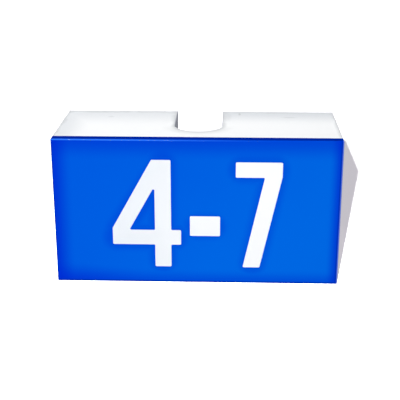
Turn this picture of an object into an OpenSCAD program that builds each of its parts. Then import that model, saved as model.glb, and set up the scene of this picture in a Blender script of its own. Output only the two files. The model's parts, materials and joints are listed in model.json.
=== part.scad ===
// Marker plate with a cable channel: a blue face plate bonded flush to the front of a
// white backing block. A round-ended channel runs through the full height of the block
// and is open at the back, so the marker slides or snaps onto an upright cable or post.
// Origin: centre of the base. +X is to the right seen from the front, +Y to the back, +Z up.

/* [Marker] */
// Width of the marker, side to side
marker_w = 150; // [90:1:240]
// Height of the marker
marker_h = 79.5; // [50:0.5:160]
// Radius of the four long edges that run from front to back
long_edge_r = 0.8; // [0.3:0.1:4]

/* [Face plate] */
// Thickness of the face plate
plate_t = 5; // [2:0.5:12]
// Radius polished onto the plate's front edge
plate_edge_r = 0.8; // [0.3:0.1:1.5]

/* [Backing block] */
// Depth of the backing block, behind the face plate
block_d = 55; // [44:1:90]
// Radius of the block's rear edge
rear_edge_r = 0.6; // [0.3:0.1:3]

/* [Cable channel] */
// Width of the channel, which is also the diameter of its round end
channel_w = 25.4; // [12:0.1:40]
// Wall left between the channel's round end and the face plate
channel_web = 11.5; // [5:0.5:20]
// Chamfer around the channel's rims and along its mouth
channel_chamfer = 0.3; // [0.2:0.1:2]

/* [Hidden] */
$fn = 96;
// How far a cutting shape runs past the face that it cuts
over = 1;
marker_d = plate_t + block_d;
front_y = -marker_d / 2;
rear_y = marker_d / 2;
seam_y = front_y + plate_t;
channel_r = channel_w / 2;
channel_y = seam_y + channel_web + channel_r;

// Section of a cutter that rounds one square edge, with the rounding's centre at the origin
module rounding_section(r) {
    difference() {
        square(r + over);
        circle(r);
    }
}

// Cutters for the four long edges, over a given stretch of the depth
module long_edge_cutters(y_from, y_to) {
    for (side = [-1, 1])
        for (level = [-1, 1])
            translate([side * (marker_w / 2 - long_edge_r), y_to + over,
                       marker_h / 2 + level * (marker_h / 2 - long_edge_r)])
                rotate([90, 0, 0])
                    linear_extrude(y_to - y_from + 2 * over)
                        scale([side, level])
                            rounding_section(long_edge_r);
}

// Cutters for the edge around one end face. facing is -1 at the front and 1 at the rear.
module end_edge_cutters(face_y, r, facing) {
    centre_y = face_y - facing * r;
    for (side = [-1, 1])
        translate([side * (marker_w / 2 - r), centre_y, -over])
            linear_extrude(marker_h + 2 * over)
                scale([side, facing])
                    rounding_section(r);
    for (level = [-1, 1])
        translate([-marker_w / 2 - over, centre_y, marker_h / 2 + level * (marker_h / 2 - r)])
            rotate([90, 0, 90])
                linear_extrude(marker_w + 2 * over)
                    scale([facing, level])
                        rounding_section(r);
}

// Half of the channel's upright section, from its axis out to the wall, flared at both rims
module channel_half_section() {
    flare = channel_chamfer + over;
    polygon([
        [0, -over],
        [channel_r + flare, -over],
        [channel_r, channel_chamfer],
        [channel_r, marker_h - channel_chamfer],
        [channel_r + flare, marker_h + over],
        [0, marker_h + over]
    ]);
}

// The channel as a cutter: a half-round end, straight walls to the rear and a chamfered mouth
module channel_cutter() {
    run = rear_y - channel_y + over;
    flare = channel_chamfer + over;
    translate([0, channel_y, 0]) {
        rotate([0, 0, 180])
            rotate_extrude(angle = 180)
                channel_half_section();
        for (side = [0, 1])
            mirror([side, 0, 0])
                translate([0, run, 0])
                    rotate([90, 0, 0])
                        linear_extrude(run)
                            channel_half_section();
    }
    translate([0, rear_y, -over])
        linear_extrude(marker_h + 2 * over)
            polygon([
                [-channel_r, -channel_chamfer],
                [channel_r, -channel_chamfer],
                [channel_r + flare, over],
                [-channel_r - flare, over]
            ]);
}

// White block that carries the plate and takes the cable
module backing_block() {
    color([0.93, 0.94, 0.95])
        difference() {
            translate([-marker_w / 2, seam_y, 0])
                cube([marker_w, block_d, marker_h]);
            long_edge_cutters(seam_y, rear_y);
            end_edge_cutters(rear_y, rear_edge_r, 1);
            channel_cutter();
        }
}

// Blue plate, flush with the block all round, that carries the marking
module face_plate() {
    color([0.01, 0.29, 0.86])
        difference() {
            translate([-marker_w / 2, front_y, 0])
                cube([marker_w, plate_t, marker_h]);
            long_edge_cutters(front_y, seam_y);
            end_edge_cutters(front_y, plate_edge_r, -1);
        }
}

backing_block();
face_plate();
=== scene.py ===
import json
import math

import bmesh
import bpy
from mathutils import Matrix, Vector
from mathutils.geometry import tessellate_polygon


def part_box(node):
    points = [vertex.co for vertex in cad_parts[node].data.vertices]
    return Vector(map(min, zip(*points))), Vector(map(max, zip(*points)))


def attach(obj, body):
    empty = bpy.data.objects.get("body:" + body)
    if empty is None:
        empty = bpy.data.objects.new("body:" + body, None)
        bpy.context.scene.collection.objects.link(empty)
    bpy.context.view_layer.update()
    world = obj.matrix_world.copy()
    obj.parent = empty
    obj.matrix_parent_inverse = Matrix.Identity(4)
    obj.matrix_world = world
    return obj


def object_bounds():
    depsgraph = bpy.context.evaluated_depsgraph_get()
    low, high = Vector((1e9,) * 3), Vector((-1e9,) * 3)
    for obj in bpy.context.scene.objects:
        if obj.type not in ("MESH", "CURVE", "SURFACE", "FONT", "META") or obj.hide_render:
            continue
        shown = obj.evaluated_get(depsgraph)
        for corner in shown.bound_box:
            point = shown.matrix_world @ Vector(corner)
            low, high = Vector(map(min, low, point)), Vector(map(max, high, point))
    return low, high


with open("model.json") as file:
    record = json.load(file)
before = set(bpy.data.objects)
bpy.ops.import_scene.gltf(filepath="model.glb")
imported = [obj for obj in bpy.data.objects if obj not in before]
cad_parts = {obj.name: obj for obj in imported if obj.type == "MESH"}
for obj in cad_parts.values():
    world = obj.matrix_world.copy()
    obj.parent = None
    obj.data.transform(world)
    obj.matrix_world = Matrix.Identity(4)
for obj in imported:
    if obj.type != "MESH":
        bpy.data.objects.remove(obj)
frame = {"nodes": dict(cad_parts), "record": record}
cad_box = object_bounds()


# The backing block is one piece of white rigid foam, sawn to size, with the cable channel
# routed through it from top to bottom. Its cut faces are matt and very finely grained, with a
# few faint marks, and the arrises are drawn greyer. Painted shade greys the top towards the
# rear and the left end, the walls of the channel, and the web in front of the channel.

block = frame["nodes"]["backing_block"]
half_width = cad_box[1].x
rear = cad_box[1].y
top = cad_box[1].z
channel = frame["record"]["mounts"][0]
channel_y = channel["pos_m"][1]
channel_radius = channel["dims"]["r_mm"] / 1000

# A pair of numbers is a value at the left and at the right, or the start and end of a fade.
foam_white = (0.93, 0.95, 0.965, 1)
foam_bright = (0.965, 0.975, 0.985, 1)
foam_cloud_scale = 14.0
foam_grain_scale = 1400.0
foam_roughness = (0.64, 0.76)
foam_shine = 0.2
saw_scale = 260.0
saw_stretch = (0.15, 0.15, 3.0)
grain_share = 0.6
foam_relief = 0.00012
cloud_detail = 3.0
cloud_span = (0.3, 0.7)
middle_span = (-0.02, 0.02)

# The arrises are drawn greyer, in a wider band along the rear of the top.
arris_grey = (0.60, 0.62, 0.64, 1)
arris_line_widths = (0.0038, 0.0025)
arris_line_inset = 0.002
arris_strengths = (1.0, 0.8)
arris_patch_scale = 70.0
rear_line_width = 0.0085
rear_line_start = 0.010
rear_line_full = 0.004

# Painted shade on the top and ends, greyer towards the rear and the left.
painted_shade_grey = (0.66, 0.69, 0.73, 1)
painted_shade_turn = (-0.01, 0.02)
painted_shade_starts = (-0.007, -0.001)
painted_shade_strengths = (0.76, 0.97)
left_end_inset = 0.0015
left_end_width = 0.019
left_end_strength = 0.65
painted_shade_depth = 0.0215
lower_strength = 0.3

# Faint marks on the top, and painted shade on the web in front of the channel.
mark_and_shade_grey = (0.45, 0.46, 0.48, 1)
mark_depth = 0.002
web_shade_span = (0.001, 0.009)
web_shade = 0.35
top_marks_and_shade = [
    ((-0.0491, 0.0161), (0.0024, 0.0022), 0.25),
    ((0.0222, 0.0235), (0.0010, 0.0036), 0.55),
    ((0.0495, 0.0172), (0.0055, 0.0020), 0.30),
    # Painted shade on the top, just in front of the channel's rim.
    ((0.0002, -0.0146), (0.0062, 0.0018), 0.60),
    ((0.0150, 0.0180), (0.0036, 0.0140), 0.22),
]

# Painted shade: the walls of the channel are drawn grey.
channel_shade_grey = (0.46, 0.48, 0.54, 1)
channel_shade_skin = (0.0002, 0.0006)


def wire(tree, kind, sockets=None, **settings):
    """Adds a node, changes its settings, and then links or fills its inputs."""
    made = tree.nodes.new(kind)
    for name, value in settings.items():
        setattr(made, name, value)
    for name, value in (sockets or {}).items():
        if isinstance(value, bpy.types.NodeSocket):
            tree.links.new(value, made.inputs[name])
        else:
            made.inputs[name].default_value = value
    return made


def calc(tree, operation, first, second=0.0):
    """One sum on two numbers."""
    return wire(tree, "ShaderNodeMath", {0: first, 1: second}, operation=operation).outputs[0]


def calc_vector(tree, operation, first, second=(0, 0, 0), output="Vector"):
    """One sum on two places or directions."""
    made = wire(tree, "ShaderNodeVectorMath", {0: first, 1: second}, operation=operation)
    return made.outputs[output]


def ramp(tree, value, low, high, out_low=0.0, out_high=1.0):
    """Eases a number from one range into another."""
    made = wire(tree, "ShaderNodeMapRange", {"Value": value, "From Min": low, "From Max": high,
                                             "To Min": out_low, "To Max": out_high},
                interpolation_type="SMOOTHSTEP")
    return made.outputs["Result"]


def blend_colour(tree, share, under, over):
    """Lays one colour over another by a share."""
    made = wire(tree, "ShaderNodeMix", {0: share, 6: under, 7: over}, data_type="RGBA")
    return made.outputs[2]


def mottle(tree, position, scale, detail=2.0):
    """Cloudy noise about 0.5."""
    made = wire(tree, "ShaderNodeTexNoise", {"Vector": position, "Scale": scale, "Detail": detail})
    return made.outputs["Fac"]


def new_material(name):
    """An empty material, its node tree, its shader and the position on the object."""
    material = bpy.data.materials.new(name)
    material.use_nodes = True
    tree = material.node_tree
    shader = tree.nodes["Principled BSDF"]
    position = wire(tree, "ShaderNodeTexCoord").outputs["Object"]
    return material, tree, shader, position


def raise_grain(tree, shader, height, strength, depth):
    """Lets the shader catch the light on a fine relief of so many metres."""
    bump = wire(tree, "ShaderNodeBump", {"Strength": strength, "Distance": depth, "Height": height})
    tree.links.new(bump.outputs["Normal"], shader.inputs["Normal"])


def group_with(name, inputs, outputs):
    """A node group with named inputs and outputs, and its two end nodes."""
    tree = bpy.data.node_groups.new(name, "ShaderNodeTree")
    for label, kind, value in inputs:
        socket = tree.interface.new_socket(label, in_out="INPUT", socket_type=kind)
        socket.default_value = value
    for label, kind in outputs:
        tree.interface.new_socket(label, in_out="OUTPUT", socket_type=kind)
    return tree, tree.nodes.new("NodeGroupInput"), tree.nodes.new("NodeGroupOutput")


def fine_finish_group():
    """The fine grain of a surface, and how rough it is from patch to patch."""
    tree, given, made = group_with(
        "fine finish",
        [("Position", "NodeSocketVector", (0, 0, 0)),
         ("Grain Scale", "NodeSocketFloat", 500.0),
         ("Patch Scale", "NodeSocketFloat", 60.0),
         ("Smoothest", "NodeSocketFloat", 0.4),
         ("Roughest", "NodeSocketFloat", 0.6)],
        [("Height", "NodeSocketFloat"), ("Roughness", "NodeSocketFloat")])
    grain = mottle(tree, given.outputs["Position"], given.outputs["Grain Scale"])
    patches = mottle(tree, given.outputs["Position"], given.outputs["Patch Scale"], cloud_detail)
    rough = ramp(tree, patches, *cloud_span, given.outputs["Smoothest"], given.outputs["Roughest"])
    tree.links.new(grain, made.inputs["Height"])
    tree.links.new(rough, made.inputs["Roughness"])
    return tree


def smudge_group():
    """A soft mark about a centre, 1 in its middle and 0 past its reach."""
    tree, given, made = group_with(
        "smudge",
        [("Position", "NodeSocketVector", (0, 0, 0)),
         ("Centre", "NodeSocketVector", (0, 0, 0)),
         ("Reach", "NodeSocketVector", (1, 1, 1))],
        [("Mask", "NodeSocketFloat")])
    out = calc_vector(tree, "SUBTRACT", given.outputs["Position"], given.outputs["Centre"])
    scaled = calc_vector(tree, "DIVIDE", out, given.outputs["Reach"])
    far = calc_vector(tree, "LENGTH", scaled, output="Value")
    tree.links.new(ramp(tree, far, 0.3, 1.0, 1.0, 0.0), made.inputs["Mask"])
    return tree


fine_finish = fine_finish_group()
smudge = smudge_group()

foam, tree, shader, position = new_material("white rigid foam")
place = wire(tree, "ShaderNodeSeparateXYZ", {0: position})
x, y, z = place.outputs
clouds = mottle(tree, position, foam_cloud_scale, cloud_detail)
white = blend_colour(tree, clouds, foam_white, foam_bright)

# How far a point lies outside the channel's wall. Behind the axis the walls run straight.
ahead_of_axis = calc(tree, "MINIMUM", calc(tree, "SUBTRACT", y, channel_y), 0.0)
from_axis = calc(tree, "SQRT", calc(tree, "ADD", calc(tree, "POWER", x, 2.0),
                                    calc(tree, "POWER", ahead_of_axis, 2.0)))
from_wall = calc(tree, "SUBTRACT", from_axis, channel_radius)

# Painted shade: the top and the ends are drawn greyer towards the rear and the left, where
# less light falls, and less so further down.
painted_shade_from = ramp(tree, x, *painted_shade_turn, *painted_shade_starts)
painted_shade = calc(tree, "MULTIPLY", ramp(tree, y, painted_shade_from, rear),
               ramp(tree, x, *painted_shade_turn, *painted_shade_strengths))
left_end_shade = ramp(tree, x, left_end_inset - half_width, left_end_width - half_width,
                left_end_strength, 0.0)
painted_shade = calc(tree, "MULTIPLY", calc(tree, "MAXIMUM", painted_shade, left_end_shade),
               ramp(tree, z, top - painted_shade_depth, top, lower_strength, 1.0))
white = blend_colour(tree, painted_shade, white, painted_shade_grey)

# Of a point's gaps to the side, the end, the level and the channel's wall, one is nothing on
# any face. The second smallest is its distance from the nearest arris, along which the colour
# is drawn greyer, in a wider band along the rear of the top.
from_side = calc(tree, "SUBTRACT", half_width, calc(tree, "ABSOLUTE", x))
from_end = calc(tree, "SUBTRACT", rear, calc(tree, "ABSOLUTE", y))
from_level = calc(tree, "SUBTRACT", top / 2,
                  calc(tree, "ABSOLUTE", calc(tree, "SUBTRACT", z, top / 2)))
first_low = calc(tree, "MINIMUM", from_side, from_end)
first_high = calc(tree, "MAXIMUM", from_side, from_end)
second_low = calc(tree, "MINIMUM", from_level, from_wall)
second_high = calc(tree, "MAXIMUM", from_level, from_wall)
from_arris = calc(tree, "MINIMUM", calc(tree, "MAXIMUM", first_low, second_low),
                  calc(tree, "MINIMUM", first_high, second_high))
line_width = calc(tree, "MAXIMUM",
                  ramp(tree, x, arris_line_inset - half_width, half_width - arris_line_inset,
                       *arris_line_widths),
                  ramp(tree, y, rear - rear_line_start, rear - rear_line_full, 0.0, rear_line_width))
arris_patches = mottle(tree, position, arris_patch_scale, cloud_detail)
arris_reach = calc(tree, "MULTIPLY", line_width, ramp(tree, arris_patches, *cloud_span, 0.6, 1.3))
arris_line = ramp(tree, calc(tree, "DIVIDE", from_arris, arris_reach), 0.0, 1.0, 1.0, 0.0)
arris_grey_share = calc(tree, "MULTIPLY", arris_line, ramp(tree, x, *middle_span, *arris_strengths))
white = blend_colour(tree, arris_grey_share, white, arris_grey)

# Painted shade: the top of the web in front of the channel is greyer close to the channel's
# rim, here and in the fourth of the listed marks. The top also has its few faint marks.
marks_and_shade = calc(tree, "MULTIPLY",
             ramp(tree, from_wall, *web_shade_span, web_shade, 0.0),
             ramp(tree, y, channel_y - channel_radius, channel_y, 1.0, 0.0))
for centre, reach, strength in top_marks_and_shade:
    mark = wire(tree, "ShaderNodeGroup",
                {"Position": position, "Centre": (*centre, top), "Reach": (*reach, mark_depth)},
                node_tree=smudge)
    marks_and_shade = calc(tree, "MAXIMUM", marks_and_shade, calc(tree, "MULTIPLY", mark.outputs["Mask"], strength))
white = blend_colour(tree, marks_and_shade, white, mark_and_shade_grey)
# Painted shade: the walls of the channel are drawn grey.
inside = ramp(tree, from_wall, *channel_shade_skin, 1.0, 0.0)
white = blend_colour(tree, inside, white, channel_shade_grey)
tree.links.new(white, shader.inputs["Base Color"])

finish = wire(tree, "ShaderNodeGroup",
              {"Position": position, "Grain Scale": foam_grain_scale,
               "Patch Scale": foam_grain_scale,
               "Smoothest": foam_roughness[0], "Roughest": foam_roughness[1]},
              node_tree=fine_finish)
tree.links.new(finish.outputs["Roughness"], shader.inputs["Roughness"])
shader.inputs["Specular IOR Level"].default_value = foam_shine
saw_marks = mottle(tree, calc_vector(tree, "MULTIPLY", position, saw_stretch), saw_scale)
relief = calc(tree, "ADD", calc(tree, "MULTIPLY", finish.outputs["Height"], grain_share),
              calc(tree, "MULTIPLY", saw_marks, 1 - grain_share))
raise_grain(tree, shader, relief, 0.25, foam_relief)
block.data.materials.clear()
block.data.materials.append(foam)


# The face plate is a 5 mm blue sheet, glued flush to the front of the block. Its face is
# smooth and a shade deeper along the rim and round the digits. The sawn edges are darker. In
# painted light, the field is brighter towards the lower right, a fine dark line of painted
# shade runs inside the rim, and the top and right arrises carry painted highlights.

plate = frame["nodes"]["face_plate"]
plate_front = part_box("face_plate")[0].y
left_span = (-half_width, -0.02)

# Painted light: the field's blue is darker at the upper left and lighter at the lower right.
shaded_field_blue = (0.0, 0.104, 0.745, 1)
lit_field_blue = (0.0, 0.140, 0.79, 1)
deep_blue = (0.0, 0.024, 0.65, 1)
sawn_blue = (0.0, 0.022, 0.36, 1)
# Painted shade along the rounded side and bottom arrises.
rim_shade_blue = (0.0, 0.033, 0.44, 1)
# Painted highlight on the top arris.
highlight_blue = (0.026, 0.19, 0.95, 1)
# Painted highlight on the right arris.
right_highlight_blue = (0.20, 0.31, 0.92, 1)

plate_cloud_scale = 22.0
plate_cloud_share = 0.25
rise_across = 3.6
rise_up = -2.6
light_slope_span = (-0.35, 0.35)
rim_start = 0.0005
side_clear_widths = (0.0108, 0.0072)
side_shade = 0.17
top_clear_width = 0.012
top_shade = 0.42
foot_clear_widths = (0.0125, 0.0085)
foot_shades = (0.18, 0.48)
stroke_edge = 0.0042
stroke_clear = 0.0095
stroke_shade = 0.65
sawn_span = (0.25, 0.85)
right_line_inset = 0.0011
right_line_fade = (0.0002, 0.0006)
left_line_fade = (0.0004, 0.0011)
side_line_strength = 0.75
foot_line_fade = (0.0005, 0.0018)
highlight_start = (0.0001, 0.0003)
highlight_end = (0.0006, 0.0010)
highlight_fade = (-0.055, 0.045)
highlight_coat = 0.08
arris_side_fade = (0.0003, 0.0008)
arris_front_fade = (0.0010, 0.0014)

plate_grain_scale = 420.0
plate_patch_scale = 60.0
plate_roughness = (0.26, 0.34)
sawn_roughness = 0.3
plate_relief = 0.00008

# The middle lines of the strokes, each from (x, z) to (x, z): the slope, bar and stem of the
# 4, the dash, and the bar and leg of the 7.
stroke_lines = [
    ((-0.0405, 0.0303), (-0.0176, 0.0658)),
    ((-0.0420, 0.0258), (-0.0120, 0.0258)),
    ((-0.0178, 0.0133), (-0.0178, 0.0643)),
    ((0.0010, 0.0322), (0.0080, 0.0322)),
    ((0.0235, 0.0637), (0.0405, 0.0637)),
    ((0.0295, 0.0120), (0.0400, 0.0610)),
]


def stroke_group():
    """How far a point on the face lies from the middle line of one stroke of a digit."""
    tree, given, made = group_with(
        "stroke distance",
        [("Position", "NodeSocketVector", (0, 0, 0)),
         ("Start", "NodeSocketVector", (0, 0, 0)),
         ("End", "NodeSocketVector", (0, 0, 1))],
        [("Distance", "NodeSocketFloat")])
    flat = calc_vector(tree, "MULTIPLY", given.outputs["Position"], (1, 0, 1))
    out = calc_vector(tree, "SUBTRACT", flat, given.outputs["Start"])
    run = calc_vector(tree, "SUBTRACT", given.outputs["End"], given.outputs["Start"])
    along = calc_vector(tree, "DOT_PRODUCT", out, run, "Value")
    whole = calc_vector(tree, "DOT_PRODUCT", run, run, "Value")
    share = calc(tree, "DIVIDE", along, whole)
    share = calc(tree, "MINIMUM", calc(tree, "MAXIMUM", share, 0.0), 1.0)
    nearest = wire(tree, "ShaderNodeVectorMath", {0: run, "Scale": share}, operation="SCALE")
    gap = calc_vector(tree, "DISTANCE", out, nearest.outputs["Vector"], "Value")
    tree.links.new(gap, made.inputs["Distance"])
    return tree


stroke_distance = stroke_group()
blue_sheet, tree, shader, position = new_material("blue sheet")
place = wire(tree, "ShaderNodeSeparateXYZ", {0: position})
x, y, z = place.outputs
from_stroke = None
for (start_x, start_z), (end_x, end_z) in stroke_lines:
    stroke = wire(tree, "ShaderNodeGroup",
                  {"Position": position, "Start": (start_x, 0, start_z), "End": (end_x, 0, end_z)},
                  node_tree=stroke_distance)
    if from_stroke is None:
        from_stroke = stroke.outputs["Distance"]
    else:
        from_stroke = calc(tree, "MINIMUM", from_stroke, stroke.outputs["Distance"])

# Painted light: the field is drawn a little brighter towards the lower right, where more light falls.
clouds = mottle(tree, position, plate_cloud_scale, cloud_detail)
light_slope = calc(tree, "ADD", calc(tree, "MULTIPLY", x, rise_across), calc(tree, "MULTIPLY", z, rise_up))
light_slope = calc(tree, "ADD", light_slope, calc(tree, "MULTIPLY", clouds, plate_cloud_share))
blue = blend_colour(tree, ramp(tree, light_slope, *light_slope_span), shaded_field_blue, lit_field_blue)

from_left = calc(tree, "SUBTRACT", x, cad_box[0].x)
from_right = calc(tree, "SUBTRACT", cad_box[1].x, x)
from_side = calc(tree, "MINIMUM", from_left, from_right)
from_top = calc(tree, "SUBTRACT", top, z)
side_clear = ramp(tree, from_side, rim_start, ramp(tree, x, *middle_span, *side_clear_widths),
                  side_shade, 1.0)
top_clear = ramp(tree, from_top, rim_start, top_clear_width, top_shade, 1.0)
foot_clear = ramp(tree, z, rim_start, ramp(tree, x, *left_span, *foot_clear_widths),
                  ramp(tree, x, *left_span, *foot_shades), 1.0)
stroke_clear_share = ramp(tree, from_stroke, stroke_edge, stroke_clear, stroke_shade, 1.0)
clear = calc(tree, "MULTIPLY", calc(tree, "MULTIPLY", side_clear, top_clear),
             calc(tree, "MINIMUM", foot_clear, stroke_clear_share))
blue = blend_colour(tree, clear, deep_blue, blue)

facing = wire(tree, "ShaderNodeTexCoord").outputs["Normal"]
forward = wire(tree, "ShaderNodeSeparateXYZ", {0: facing}).outputs["Y"]
sawn = ramp(tree, calc(tree, "ABSOLUTE", forward), *sawn_span, 1.0, 0.0)
blue = blend_colour(tree, sawn, blue, sawn_blue)

# Painted shade: a fine dark line inside the left, right and bottom rim, where the rounded arrises turn
# from the light.
from_right_line = calc(tree, "ABSOLUTE", calc(tree, "SUBTRACT", from_right, right_line_inset))
side_lines = calc(tree, "MAXIMUM",
                  ramp(tree, from_right_line, *right_line_fade, side_line_strength, 0.0),
                  ramp(tree, from_left, *left_line_fade, side_line_strength, 0.0))
rim_shade = calc(tree, "MAXIMUM", side_lines, ramp(tree, z, *foot_line_fade, 1.0, 0.0))
blue = blend_colour(tree, rim_shade, blue, rim_shade_blue)

# Painted highlight: a paler line along the rounded top arris, fading to the right. The same line
# carries a thin coat.
top_arris_highlight = calc(tree, "MULTIPLY", ramp(tree, from_top, *highlight_start),
              ramp(tree, from_top, *highlight_end, 1.0, 0.0))
top_arris_highlight = calc(tree, "MULTIPLY", top_arris_highlight, ramp(tree, x, *highlight_fade, 1.0, 0.0))
blue = blend_colour(tree, top_arris_highlight, blue, highlight_blue)
# Painted highlight: the right arris is drawn paler.
from_front = calc(tree, "SUBTRACT", y, plate_front)
right_arris_highlight = calc(tree, "MULTIPLY", ramp(tree, from_right, *arris_side_fade, 1.0, 0.0),
                   ramp(tree, from_front, *arris_front_fade, 1.0, 0.0))
blue = blend_colour(tree, right_arris_highlight, blue, right_highlight_blue)
tree.links.new(blue, shader.inputs["Base Color"])

finish = wire(tree, "ShaderNodeGroup",
              {"Position": position, "Grain Scale": plate_grain_scale,
               "Patch Scale": plate_patch_scale,
               "Smoothest": plate_roughness[0], "Roughest": plate_roughness[1]},
              node_tree=fine_finish)
rough = calc(tree, "ADD", finish.outputs["Roughness"], calc(tree, "MULTIPLY", sawn, sawn_roughness))
tree.links.new(rough, shader.inputs["Roughness"])
tree.links.new(calc(tree, "MULTIPLY", top_arris_highlight, highlight_coat), shader.inputs["Coat Weight"])
shader.inputs["Specular IOR Level"].default_value = 0.0
raise_grain(tree, shader, finish.outputs["Height"], 0.12, plate_relief)
plate.data.materials.clear()
plate.data.materials.append(blue_sheet)


# The marking is three pieces of thin white film, cut with slightly rounded corners and laid
# on the plate's face: a 4, a dash and a 7. The digits are plain and stand for whatever number
# the marker carries.

film_thickness = 0.00012
film_sunk = 0.00002
film_corner = 0.0006
film_white = (0.955, 0.97, 0.985, 1)
# Painted shade: the film greys towards the left.
shade_and_mottle_white = (0.80, 0.84, 0.89, 1)
film_shade_span = (-0.045, 0.03)
film_shade_strength = 0.85
film_cloud_scale = 30.0
film_cloud_share = 0.3
film_grain_scale = 500.0
film_roughness = (0.42, 0.52)
film_shine = 0.2
film_relief = 0.00005

digit_foot = 0.0094
four_left = -0.0443
four_right = -0.0083
four_top = 0.0686
stem_left = -0.0220
stem_right = -0.0135
bar_foot = 0.0219
bar_top = 0.0301
shoulder = -0.0235
slope_foot = 0.0311
opening_left = -0.0355
opening_top = 0.0544
digit_four = [
    [(four_left, bar_foot), (stem_left, bar_foot), (stem_left, digit_foot),
     (stem_right, digit_foot), (stem_right, bar_foot), (four_right, bar_foot),
     (four_right, bar_top), (stem_right, bar_top), (stem_right, four_top),
     (shoulder, four_top), (four_left, slope_foot)],
    [(opening_left, bar_top), (stem_left, opening_top), (stem_left, bar_top)],
]

dash_left = -0.0036
dash_right = 0.0122
dash_foot = 0.0270
dash_top = 0.0380
dash = [[(dash_left, dash_foot), (dash_right, dash_foot), (dash_right, dash_top),
         (dash_left, dash_top)]]

seven_left = 0.0201
seven_right = 0.0442
seven_top = 0.0677
seven_bar_foot = 0.0595
leg_left = 0.0243
leg_right = 0.0332
bend_x = 0.0352
bend_z = 0.0600
digit_seven = [[(seven_left, seven_bar_foot), (bend_x, seven_bar_foot), (leg_left, digit_foot),
                (leg_right, digit_foot), (seven_right, bend_z), (seven_right, seven_top),
                (seven_left, seven_top)]]


def rounded(outline, radius):
    """The outline with each corner turned on an arc."""
    points = []
    for i, corner in enumerate(outline):
        here = Vector(corner)
        before = (Vector(outline[i - 1]) - here).normalized()
        after = (Vector(outline[(i + 1) % len(outline)]) - here).normalized()
        half = before.angle(after) / 2
        back = radius / math.tan(half)
        centre = here + (before + after).normalized() * (radius / math.sin(half))
        start = here + before * back - centre
        end = here + after * back - centre
        for step in range(6):
            arm = start.lerp(end, step / 5).normalized() * radius
            points.append(centre + arm)
    return points


def cut_film(name, outlines):
    """A thin solid piece of film standing just proud of the plate's face."""
    loops = [rounded(outline, film_corner) for outline in outlines]
    shape = bmesh.new()
    sides = []
    for level in (plate_front - film_thickness, plate_front + film_sunk):
        sides.append([[shape.verts.new((p.x, level, p.y)) for p in loop] for loop in loops])
    for triangle in tessellate_polygon([[p.to_3d() for p in loop] for loop in loops]):
        for side in sides:
            corners = [corner for loop in side for corner in loop]
            shape.faces.new([corners[i] for i in triangle])
    shape.normal_update()
    inner = [edge for edge in shape.edges if len(edge.link_faces) == 2]
    bmesh.ops.beautify_fill(shape, faces=shape.faces[:], edges=inner, method="ANGLE")
    for front, back in zip(*sides):
        for i in range(len(front)):
            j = (i + 1) % len(front)
            shape.faces.new([front[i], front[j], back[j], back[i]])
    bmesh.ops.recalc_face_normals(shape, faces=shape.faces)
    mesh = bpy.data.meshes.new(name)
    shape.to_mesh(mesh)
    shape.free()
    piece = bpy.data.objects.new(name, mesh)
    bpy.context.scene.collection.objects.link(piece)
    return piece


film, tree, shader, position = new_material("white film")
clouds = mottle(tree, position, film_cloud_scale, cloud_detail)
x = wire(tree, "ShaderNodeSeparateXYZ", {0: position}).outputs["X"]
# Painted shade: the film is drawn greyer towards the left, where less light falls, with a random cloudy
# tone.
film_shade_and_mottle = calc(tree, "ADD", ramp(tree, x, *film_shade_span, film_shade_strength, 0.0),
            calc(tree, "MULTIPLY", clouds, film_cloud_share))
tree.links.new(blend_colour(tree, film_shade_and_mottle, film_white, shade_and_mottle_white), shader.inputs["Base Color"])
finish = wire(tree, "ShaderNodeGroup",
              {"Position": position, "Grain Scale": film_grain_scale,
               "Patch Scale": film_cloud_scale,
               "Smoothest": film_roughness[0], "Roughest": film_roughness[1]},
              node_tree=fine_finish)
tree.links.new(finish.outputs["Roughness"], shader.inputs["Roughness"])
shader.inputs["Specular IOR Level"].default_value = film_shine
raise_grain(tree, shader, finish.outputs["Height"], 0.1, film_relief)

for name, outlines in (("marking_4", digit_four), ("marking_dash", dash), ("marking_7", digit_seven)):
    piece = cut_film(name, outlines)
    piece.data.materials.append(film)
    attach(piece, "root")


# The marker stands on a plain white table top, under a soft light above, one in front and one
# behind. A small lamp in front lights only the table and throws the marker's hard shadow on it
# to the back and right.

table_reach = 4.0
table_grey = (0.12, 0.12, 0.12, 1)
table_glow = (0.95, 0.905, 1.0, 1)
# Painted light: the table glows a little more close round the marker's foot.
foot_glow_span = (0.085, 0.110)
foot_glow = (0.52, 0.463)
glow_span = (0.32, 0.45)
white_strength = 1.11
bounce_white = (0.98, 0.98, 1.0, 1)
bounce_strength = 0.42
room_white = (1, 1, 1, 1)
room_strength = 0.25

marker_middle = (0, 0, 0.04)
table_lamp_place = (-0.0200, -0.5365, 0.2783)
front_lamp_place = (-0.12, -0.75, 0.09)
soft_lamp_place = (-0.10, 0.05, 0.95)
rear_lamp_place = (-0.12, 0.95, 0.30)
camera_place = (0.01648, -0.48595, 0.20775)
camera_target = (0.00169, -0.0300, 0.04704)


def aim(thing, place, target):
    """Puts a lamp or the camera in its place, turned to look at a point."""
    thing.location = place
    thing.rotation_euler = (Vector(target) - Vector(place)).to_track_quat("-Z", "Y").to_euler()
    thing.visible_camera = False
    bpy.context.scene.collection.objects.link(thing)


def mix_shown(tree, unseen, shown, kind):
    """One shader for rays that light the marker, one for what the camera, gloss or glass shows."""
    ray = wire(tree, "ShaderNodeLightPath")
    seen = calc(tree, "MAXIMUM", ray.outputs["Is Camera Ray"],
                calc(tree, "MAXIMUM", ray.outputs["Is Glossy Ray"], ray.outputs["Is Transmission Ray"]))
    mixed = wire(tree, "ShaderNodeMixShader", {0: seen, 1: unseen.outputs[0], 2: shown.outputs[0]})
    wire(tree, kind, {"Surface": mixed.outputs[0]})


def square_lamp(name, place, size, watts):
    """A square soft lamp turned to the middle of the marker."""
    light = bpy.data.lights.new(name, "AREA")
    light.shape = "SQUARE"
    light.size = size
    light.energy = watts
    aim(bpy.data.objects.new(name, light), place, marker_middle)


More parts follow.
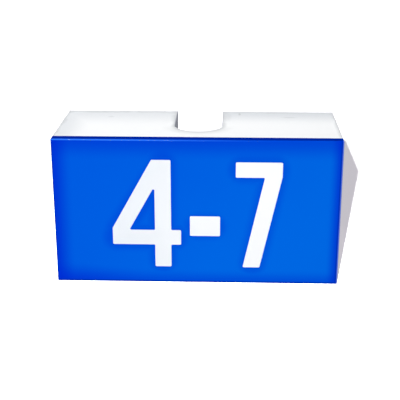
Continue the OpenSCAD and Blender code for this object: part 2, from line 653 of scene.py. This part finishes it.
table_mesh = bpy.data.meshes.new("table_top")
table_mesh.from_pydata([(-table_reach, -table_reach, 0), (table_reach, -table_reach, 0),
                        (table_reach, table_reach, 0), (-table_reach, table_reach, 0)],
                       [], [(0, 1, 2, 3)])
table_top = bpy.data.objects.new("table_top", table_mesh)
bpy.context.scene.collection.objects.link(table_top)
laminate = bpy.data.materials.new("white table")
laminate.use_nodes = True
tree = laminate.node_tree
tree.nodes.clear()
position = wire(tree, "ShaderNodeTexCoord").outputs["Object"]
away = calc_vector(tree, "LENGTH", position, output="Value")
# Painted light: the glow is a little stronger close round the marker's foot, which lightens the shadow
# there.
near_foot = ramp(tree, away, *foot_glow_span, *foot_glow)
glow_strength = ramp(tree, away, *glow_span, near_foot, white_strength)
glow = wire(tree, "ShaderNodeEmission", {"Color": table_glow, "Strength": glow_strength})
pale = wire(tree, "ShaderNodeBsdfDiffuse", {"Color": table_grey})
shown = wire(tree, "ShaderNodeAddShader", {0: pale.outputs[0], 1: glow.outputs[0]})
bounce = wire(tree, "ShaderNodeEmission", {"Color": bounce_white, "Strength": bounce_strength})
mix_shown(tree, bounce, shown, "ShaderNodeOutputMaterial")
table_mesh.materials.append(laminate)

room = bpy.data.worlds.new("white room")
bpy.context.scene.world = room
room.use_nodes = True
tree = room.node_tree
tree.nodes.clear()
dim = wire(tree, "ShaderNodeBackground", {"Color": room_white, "Strength": room_strength})
bright = wire(tree, "ShaderNodeBackground", {"Color": room_white, "Strength": 1.0})
mix_shown(tree, dim, bright, "ShaderNodeOutputWorld")

table_light = bpy.data.lights.new("lamp on the table", "POINT")
table_light.energy = 700.0
table_light.shadow_soft_size = 0.003
table_lamp = bpy.data.objects.new("table_lamp", table_light)
aim(table_lamp, table_lamp_place, marker_middle)
only_table = bpy.data.collections.new("only the table")
only_table.objects.link(table_top)
table_lamp.light_linking.receiver_collection = only_table
square_lamp("front_lamp", front_lamp_place, 0.16, 3.5)
square_lamp("soft_lamp", soft_lamp_place, 0.7, 5.1)
square_lamp("rear_lamp", rear_lamp_place, 0.7, 5.6)

camera = bpy.data.cameras.new("camera")
camera.lens = 83.73
camera.sensor_width = 36.0
camera.clip_start = 0.01
camera.clip_end = 20.0
camera_object = bpy.data.objects.new("camera", camera)
aim(camera_object, camera_place, camera_target)
bpy.context.scene.camera = camera_object
bpy.context.scene.view_settings.view_transform = "Standard"
